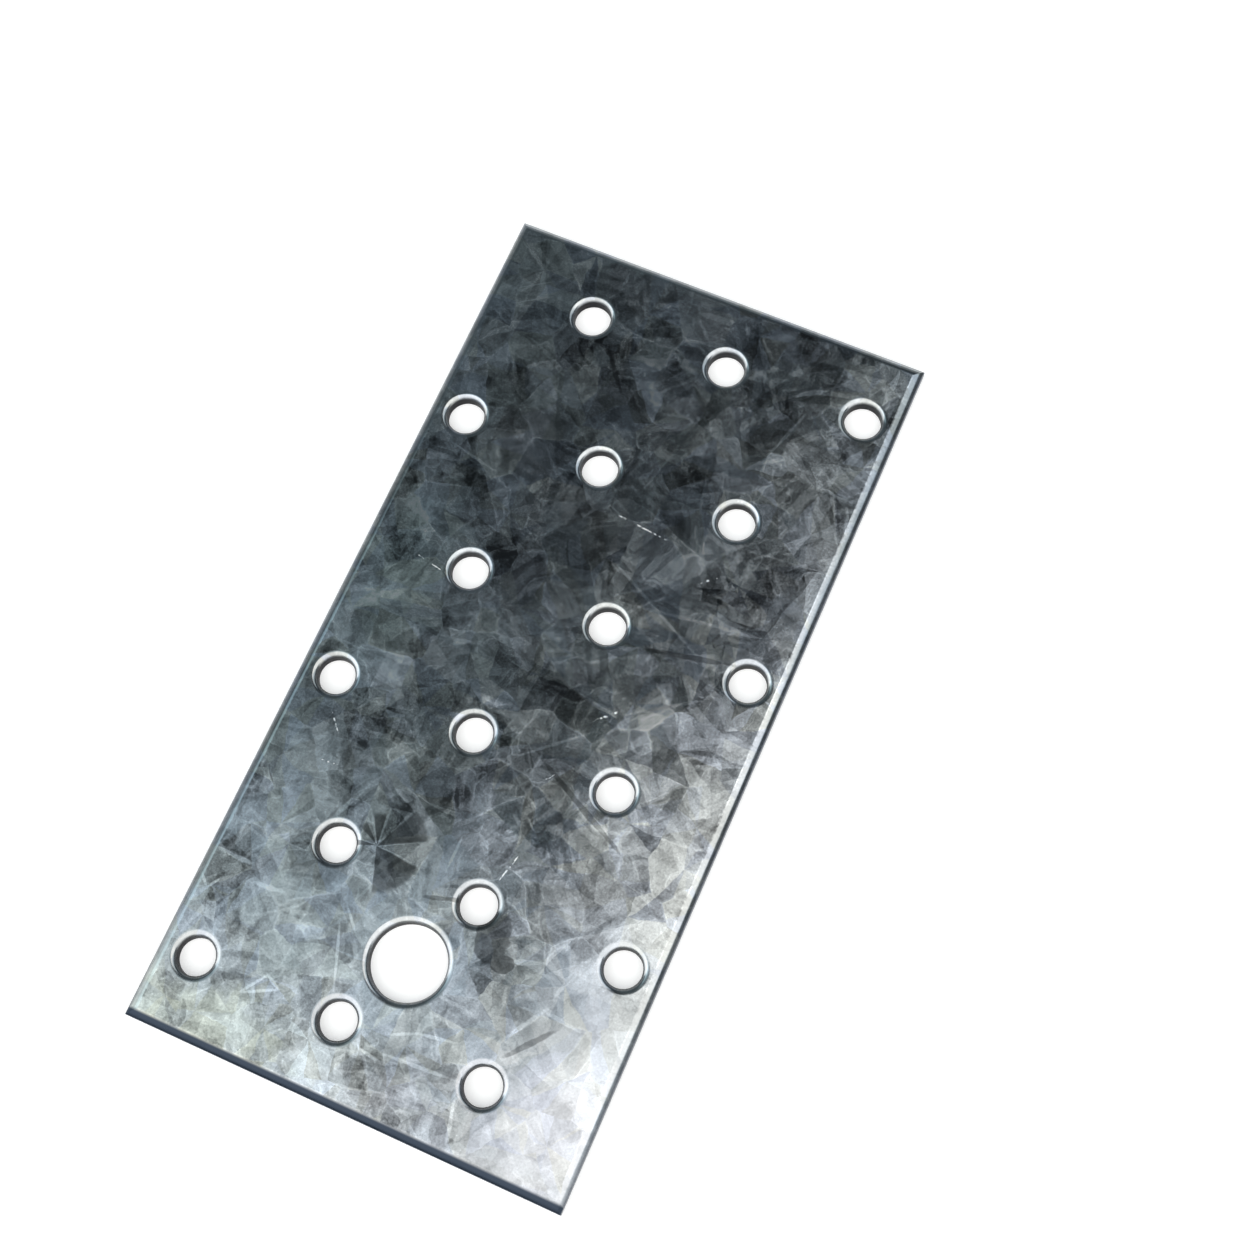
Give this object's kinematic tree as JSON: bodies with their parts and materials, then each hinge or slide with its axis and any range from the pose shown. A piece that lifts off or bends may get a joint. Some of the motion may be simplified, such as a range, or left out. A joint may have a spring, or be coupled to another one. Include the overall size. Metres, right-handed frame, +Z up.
{
  "type": "perforated plate",
  "caption": "Flat rectangular galvanised steel plate with a staggered grid of round nail holes and a larger bolt hole near the lower end, for joining timber members flush.",
  "frame": {"origin": "middle of the underside, the face that lies on the timber", "axes": "+X across the width, +Y along the length away from the bolt hole, +Z up out of the upper, rolled-edge face"},
  "size_m": [0.06, 0.12, 0.002],
  "materials": {
    "galvanised_steel": "hot-dip galvanised sheet with zinc spangle, semi-gloss, lightly scratched"
  },
  "bodies": {
    "root": {"perforated_plate": "galvanised_steel"}
  },
  "joints": []
}
